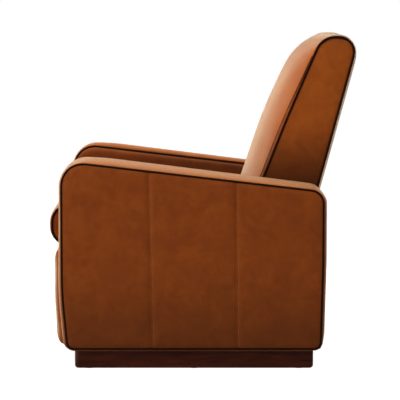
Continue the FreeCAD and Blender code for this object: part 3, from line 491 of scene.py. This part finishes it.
# %% [markdown]
# ## Stuffing a cushion
#
# A cushion is a closed leather case that foam pushes out while its seams hold. It could be sculpted by rule like the bands,
# but a large cushion looks stiff that way. The case is remeshed into small even squares, the points near its seams and where
# it rests are pinned, and a cloth simulation blows it up for twenty frames. How far a point may go is capped softly, so that
# the cushion stays in its place in the frame, and a little smoothing takes out the folds.

# %% Swelling
FRAMES, PRESSURE, SMOOTHINGS = 20, 4, 4
CASE_COLUMNS = 18


def in_squares(bm, voxel):
    """The closed shape as an object remeshed into even squares."""
    mesh = bpy.data.meshes.new("case")
    bm.to_mesh(mesh)
    bm.free()
    case = bpy.data.objects.new("case", mesh)
    bpy.context.scene.collection.objects.link(case)
    squares = case.modifiers.new("squares", "REMESH")
    squares.mode, squares.voxel_size = "VOXEL", voxel * MM
    mesh = bpy.data.meshes.new_from_object(case.evaluated_get(bpy.context.evaluated_depsgraph_get()))
    case.modifiers.clear()
    case.data = mesh
    return case


def blown_up(case, held):
    """Where the points of the case end after the simulation, with those for which held(point) is true pinned."""
    pinned = case.vertex_groups.new(name="held")
    pinned.add([v.index for v in case.data.vertices if held(v.co)], 1, "REPLACE")
    cloth = case.modifiers.new("stuffing", "CLOTH")
    cloth.settings.vertex_group_mass = "held"
    cloth.settings.use_pressure = True
    cloth.settings.uniform_pressure_force = PRESSURE
    cloth.settings.effector_weights.gravity = 0
    cloth.collision_settings.use_collision = False
    for tick in range(1, FRAMES + 1):
        bpy.context.scene.frame_set(tick)
    blown = case.evaluated_get(bpy.context.evaluated_depsgraph_get()).data
    moved = [v.co.copy() for v in blown.vertices]
    case.modifiers.clear()
    bpy.context.scene.frame_set(1)
    return moved


def swell(bm, voxel, held, cap, limit):
    """The shape blown up, each move capped by cap(normal, point) and x kept inside limit, both in millimetres."""
    case = in_squares(bm, voxel)
    start = [(v.co.copy(), v.normal.copy()) for v in case.data.vertices]
    moved = blown_up(case, held)
    bm = bmesh.new()
    bm.from_mesh(case.data)
    bpy.data.objects.remove(case)
    largest = 0
    for v, (co, n), end in zip(bm.verts, start, moved):
        step, most = end - co, cap(n, co) * MM
        if step.length > 1e-7:
            largest = max(largest, step.length)
            step *= most * math.tanh(step.length / most) / step.length
        v.co = co + step
        v.co.x = max(-limit * MM, min(limit * MM, v.co.x))
    free = [v for v, (co, _) in zip(bm.verts, start) if not held(co)]
    for _ in range(SMOOTHINGS):
        bmesh.ops.smooth_vert(bm, verts=free, factor=0.5, use_axis_x=True, use_axis_y=True, use_axis_z=True)
    print("swelled:", len(bm.verts), "points,", len(bm.verts) - len(free), "held, largest free move",
          round(largest / MM, 1), "mm")
    return bm


def closed_case(corners, half, crown):
    bm = band(corners, -half, half, CASE_COLUMNS, crown)
    bmesh.ops.holes_fill(bm, edges=[e for e in bm.edges if e.is_boundary], sides=0)
    bmesh.ops.recalc_face_normals(bm, faces=bm.faces)
    return bm


print("cushions: blown up for", FRAMES, "frames at a pressure of", PRESSURE)

# %% [markdown]
# ## The seat
#
# One bullnose cushion rolls over the front edge and down. Its seam runs along both sides of the top and round the nose, and
# its underside lies on the webbing, so these points are held. The piping lies a little inside the nose's edge, because the
# leather of the roll stands proud of its seam.

# %% The seat cushion
CUSHION_HALF, WIDEST = 268.5, 270.6
SEAM_REACH, SEAM_PITCH = 8, 6


def near_seam(points):
    """A test for points within reach of a seam line that runs along both sides of a cushion."""
    marks = [(p.y, p.z) for p in points]
    inside, reach = (CUSHION_HALF - SEAM_REACH) * MM, SEAM_REACH * MM
    return lambda co: abs(co.x) > inside and min(math.hypot(co.y - y, co.z - z) for y, z in marks) < reach


on_seat_seam = near_seam(along(SEAT, 3, SEAM_PITCH))


def seat_held(co):
    on_webbing = co.z < 0.3585 and co.y > -0.37
    at_back = co.y > 0.02 + (co.z - 0.3543) * 0.394 - 0.006
    return on_webbing or at_back or on_seat_seam(co)


def seat_crown(n, co, t):
    return (1.5 + 4.5 * max(0, -n.y) ** 2) * roll(t) + 5 * (1 - t * t) * max(0, n.z) ** 2


def seat_cap(n, co):
    return 1 + 5 * max(0, n.z) * (1 - (co.x / 0.27) ** 2) if n.z > -0.5 else 3


seat = swell(closed_case(SEAT, CUSHION_HALF, seat_crown), 8, seat_held, seat_cap, WIDEST)
piece("seat_pad", seat, SEAT_HIDE, "seat", ("seat_cushion", "seat_gussets"), subdivide=1)
NOSE_WELT = [(63, 463, 0), (-467, 499, 55), (-467, 368, 55), (-395, 368, 8)]
WELT_X, WELT_RADIUS = 267.8, 4.2
seat_runs = [(along(NOSE_WELT, 3), sign * WELT_X, WELT_RADIUS, False) for _, sign in SIDES]
piping("seat_piping", seat_runs, "seat", ("seat_welts",))

# %% [markdown]
# ## The back
#
# The back is one wrap of leather over its front, top and rear with a flat panel at each side. Its front is crowned
# deeply, for the shoulders, and its rear only a little. The crown fades out below the top, so that the top stays a
# plain roll. A thin dark cord runs beside the front piping: a second line of stitching, drawn dark as a painted shade
# of its groove.

# %% The back cushion
on_back_seam = near_seam(along(BACK, 4, SEAM_PITCH))


def back_held(co):
    return co.z < 0.396 or on_back_seam(co)


def back_crown(n, co, t):
    fade = 1 - clamp((co.z - 0.9) / 0.11) ** 2
    depth = 47 + 18 * clamp((co.z - 0.5) / 0.25)
    return max(0, -n.y) ** 3 * depth * fade * dome(t) + (5 + max(0, n.y) * 9 + max(0, n.z) ** 4 * 2) * roll(t)


def back_cap(n, co):
    return 3 + max(0, -n.y) * 12 + max(0, n.y) * 7


cushion = swell(closed_case(BACK, CUSHION_HALF, back_crown), 9, back_held, back_cap, WIDEST)
piece("back_pad", cushion, BACK_HIDE, "back",
      ("back_cushion", "back_side_panel_left", "back_side_panel_right"), subdivide=1)
# A thin dark cord for a line of stitching, dark as a painted shade of the groove beside the piping.
STITCH_SHADE_LINE = [(104, 388, 0), (250, 763, 1500), (341, 960, 0)]
STITCH_SHADE_X, STITCH_SHADE_RADIUS = 265.2, 1.2
back_runs = [(along(BACK, 4), sign * WELT_X, WELT_RADIUS, False) for _, sign in SIDES]
back_runs += [(along(STITCH_SHADE_LINE, 2), sign * STITCH_SHADE_X, STITCH_SHADE_RADIUS, False) for _, sign in SIDES]
piping("back_piping", back_runs, "back", ("back_welts",))

# %% [markdown]
# ## The footrest
#
# A padded board hangs below the nose. It is one small cushion, held where it meets the board, and only a little fuller in
# the middle of its front.

# %% The footrest pad
FOOT_HALF, FOOT_WIDEST = 263, 267.5


def foot_crown(n, co, t):
    return max(0, -n.y) * 2 * dome(t)


def foot_held(co):
    return co.y > -0.4245


foot = swell(closed_case(FOOT, FOOT_HALF, foot_crown), 7, foot_held, lambda n, co: 4, FOOT_WIDEST)
piece("footrest_cover", foot, COGNAC, "footrest", ("footrest_pad",), subdivide=1)

# %% [markdown]
# ## The covered panel behind the base
#
# A thin board covered in leather closes the base at the rear, with a lip that turns in under the back. Simulation would add
# nothing to a tight cover, so both are blocks with rounded edges, and the rear face is inset and lifted into a soft padding.

# %% The rear panel
def block(bm, low, high, rounding):
    made = bmesh.ops.create_cube(bm, size=1)["verts"]
    low, high = Vector(low) * MM, Vector(high) * MM
    bmesh.ops.scale(bm, vec=high - low, verts=made)
    bmesh.ops.translate(bm, vec=(low + high) / 2, verts=made)
    edges = {e for v in made for e in v.link_edges}
    bmesh.ops.bevel(bm, geom=list(edges), offset=rounding * MM, offset_type="OFFSET", affect="EDGES",
                    segments=3, profile=0.5, material=-1)


cover = bmesh.new()
block(cover, (-275, 346, 64), (275, 358, 377), 4)
rear_face = [f for f in cover.faces if f.normal.y > 0.99]
for width, rise in ((6, 0.6), (10, 1.0), (20, 0.4)):
    bmesh.ops.inset_region(cover, faces=rear_face, thickness=width * MM, depth=rise * MM, use_even_offset=True)
block(cover, (-275, 328, 372), (275, 352, 378), 2.5)
piece("rear_cover", cover, COGNAC, "base", ("rear_panel",))

# %% [markdown]
# ## Wood, steel and straps
#
# The plinth is stained almost black, with a straight grain that runs along each board and a thin lacquer. The hidden frame is
# sawn softwood. The linkage is powder-coated, which leaves a fine orange-peel skin, the straps are a plain weave, and the
# glides are moulded plastic. The solids of the frame have the right shapes already, so they only get these finishes.

# %% Finishes of the frame
def wood(name, dark, light, stretch, gloss, coat):
    board = Finish(name)
    grain = noise(board, board.where(stretch), 1, 6, 0.65, 0.5)
    vein = noise(board, board.where(tuple(4 * s for s in stretch)), 1, 3)
    board.feed(board.shader, {
        "Base Color": ramp(board, grain * 0.7 + vein * 0.3, (0.35, dark), (0.68, light)),
        "Roughness": gloss + vein * 0.15, "Normal": relief(board, vein, 0.25, 0.0005),
        "Coat Weight": coat, "Coat Roughness": 0.25, "Specular IOR Level": 0.12})
    return board.material


def painted_steel():
    paint = Finish("powder_coated_steel")
    peel = noise(paint, paint.where(), 700, 2)
    rub = noise(paint, paint.where(), 24, 4)
    paint.feed(paint.shader, {
        "Base Color": ramp(paint, rub, (0.4, shade(26, 26, 28)), (0.75, shade(52, 52, 54))),
        "Roughness": 0.38 + rub * 0.2, "Normal": relief(paint, peel, 0.2, 0.0003)})
    return paint.material


def woven_strap():
    strap = Finish("woven_strap")
    warp, weft = (strap.add("ShaderNodeTexWave", {"bands_direction": axis},
                            {"Vector": strap.where(), "Scale": 55, "Distortion": 0.4}) for axis in "XY")
    weave = warp * weft + (1 - warp) * (1 - weft)
    strap.feed(strap.shader, {
        "Base Color": ramp(strap, weave, (0.1, shade(84, 72, 56)), (0.9, shade(142, 128, 104))),
        "Roughness": 0.85, "Normal": relief(strap, weave, 0.6, 0.001)})
    return strap.material


def moulded_plastic():
    pad = Finish("moulded_plastic")
    speck = noise(pad, pad.where(), 500, 2)
    pad.feed(pad.shader, {
        "Base Color": ramp(pad, speck, (0.3, shade(20, 20, 20)), (0.7, shade(38, 38, 38))),
        "Roughness": 0.5 + speck * 0.2})
    return pad.material


ESPRESSO = wood("espresso_stain", shade(47, 18, 11), shade(92, 39, 23), (30, 4, 30), 0.42, 0.02)
SOFTWOOD = wood("sawn_softwood", shade(150, 112, 70), shade(196, 158, 110), (22, 5, 22), 0.6, 0)
STEEL, STRAP, GLIDE = painted_steel(), woven_strap(), moulded_plastic()
print("frame finishes:", [finish.name for finish in (ESPRESSO, SOFTWOOD, STEEL, STRAP, GLIDE)])

# %% [markdown]
# ## Finishes on the frame's solids
#
# The names of the nodes say what each one is made of. The plinth's boards are the only bare wood in sight, and no real board
# has a razor edge, so a bevel eases theirs. Their triangles are loose, so they are joined first.

# %% Finishes on the solids
WOODEN = ("plinth_corner", "arm_", "front_stretcher", "rear_stretcher", "rear_top_rail", "seat_front_rail",
          "seat_rear_rail", "back_post", "back_top_rail", "back_lower_rail", "footrest_board")


def is_plinth_board(node):
    return node.startswith("plinth") and "blocks" not in node


def finish_for(node):
    if is_plinth_board(node):
        return ESPRESSO
    if "webbing" in node:
        return STRAP
    if "glide" in node:
        return GLIDE
    return SOFTWOOD if node.startswith(WOODEN) else STEEL


for node, solid in frame["nodes"].items():
    for place in solid.material_slots:
        place.material = finish_for(node)
    if is_plinth_board(node):
        solid.modifiers.new("joined", "WELD").merge_threshold = 0.1 * MM
        eased = solid.modifiers.new("eased", "BEVEL")
        eased.width, eased.segments = 2.2 * MM, 2
        eased.limit_method, eased.angle_limit = "ANGLE", math.radians(40)
print("finishes on", len(frame["nodes"]), "nodes")

# %% [markdown]
# ## Floor and surround
#
# A pale floor and a white surround, as in a studio. What the camera sees of them is white by its own glow, so that no lamp
# has to burn the floor out, and the floor still takes the shadow. Glossy leather mirrors a warm, bright far side of the
# studio, which draws the pale lines along the arms and the fronts, and a dim near side, which keeps the side panels calm.
# Below the chair the floor doesn't glow, because no light gets in there.

# %% Floor and surround
CREAM = (1, 0.86, 0.64, 1)
FLOOR_SIZE, FLOOR_GLOW, FLOOR_TONE = 9, 0.92, (0.3, 0.3, 0.3, 1)
UNDER_CHAIR = ("X", 0, 0.36), ("Y", -0.025, 0.36)
SOFT_LIGHT = 0.32


def rays_of(finish):
    """Two wires: 1 for rays that look straight at the background, and 1 for rays that a glossy surface sends there."""
    looking, glossy, through = (finish.add("ShaderNodeLightPath", {}, {}, "Is " + kind + " Ray")
                                for kind in ("Camera", "Glossy", "Transmission"))
    return looking.maths("MAXIMUM", looking, through), glossy


ground = Finish("pale_floor")
seen, glossy = rays_of(ground)
spot = ground.where()
across, lengthwise = (ground.add("ShaderNodeMath", {"operation": "COMPARE"},
                                 {0: axis_of(ground, spot, axis), 1: middle, 2: reach})
                      for axis, middle, reach in UNDER_CHAIR)
beyond = smooth_range(ground, axis_of(ground, spot, "X"), -0.45, -1.6, 0.06, 2.0)
glow = ground.add("ShaderNodeEmission", {}, {
    "Color": mix(ground, glossy, WHITE, CREAM),
    "Strength": (seen * FLOOR_GLOW + glossy * beyond) * (1 - across * lengthwise)})
matt = ground.add("ShaderNodeBsdfDiffuse", {}, {"Color": FLOOR_TONE})
both = ground.add("ShaderNodeAddShader", {}, {0: glow, 1: matt})
ground.feed(ground.tree.nodes["Material Output"], {"Surface": both})

square = bmesh.new()
bmesh.ops.create_grid(square, x_segments=1, y_segments=1, size=FLOOR_SIZE)
flat = bpy.data.meshes.new("floor")
square.to_mesh(flat)
square.free()
flat.materials.append(ground.material)
floor = bpy.data.objects.new("floor", flat)
bpy.context.scene.collection.objects.link(floor)

world = bpy.data.worlds.new("surround")
world.use_nodes = True
bpy.context.scene.world = world
air = Finish("surround", world.node_tree)
seen, glossy = rays_of(air)
way = air.add("ShaderNodeTexCoord", {}, {}, "Generated")
shine = smooth_range(air, axis_of(air, way, "X") + axis_of(air, way, "Y"), -0.5, -1.2, 0.02, 2.4)
air.feed(world.node_tree.nodes["Background"], {
    "Color": mix(air, glossy, WHITE, CREAM),
    "Strength": seen + glossy * shine + (1 - seen) * (1 - glossy) * SOFT_LIGHT})
print("floor:", round(max(v.co.x for v in flat.vertices) - min(v.co.x for v in flat.vertices), 2), "m across")

# %% [markdown]
# ## Lamps
#
# Large soft lamps stand above and in front of the chair, so that the tops and the front crown shine and the side stays calm.
# A lamp on the camera's side fills the side panel, and a weaker one behind lights the rear. They are a little warm, as
# leather looks dull under cold light.

# %% Lamps
LAMP_TINT = (1, 0.92, 0.78)


def lamp(name, place, aim, size, power):
    light = bpy.data.lights.new(name, "AREA")
    light.shape, light.size, light.size_y, light.energy = "RECTANGLE", size[0], size[1], power
    light.color = LAMP_TINT
    holder = bpy.data.objects.new(name, light)
    holder.location = place
    holder.rotation_euler = (Vector(aim) - Vector(place)).to_track_quat("-Z", "Y").to_euler()
    bpy.context.scene.collection.objects.link(holder)


lamp("overhead", (0.2, -0.5, 3.4), (0, 0, 0.5), (3.0, 3.0), 102)
lamp("front", (0.9, -3.0, 0.9), (0, 0, 0.4), (2.2, 1.4), 42)
lamp("camera_side", (3.0, -0.6, 3.6), (0, 0, 0.7), (2.2, 2.2), 56)
lamp("rear", (-0.8, 3.2, 2.0), (0, 0, 0.6), (2.0, 2.0), 30)
bpy.context.scene.view_settings.view_transform = "Standard"
print("lamps:", len(bpy.data.lights))
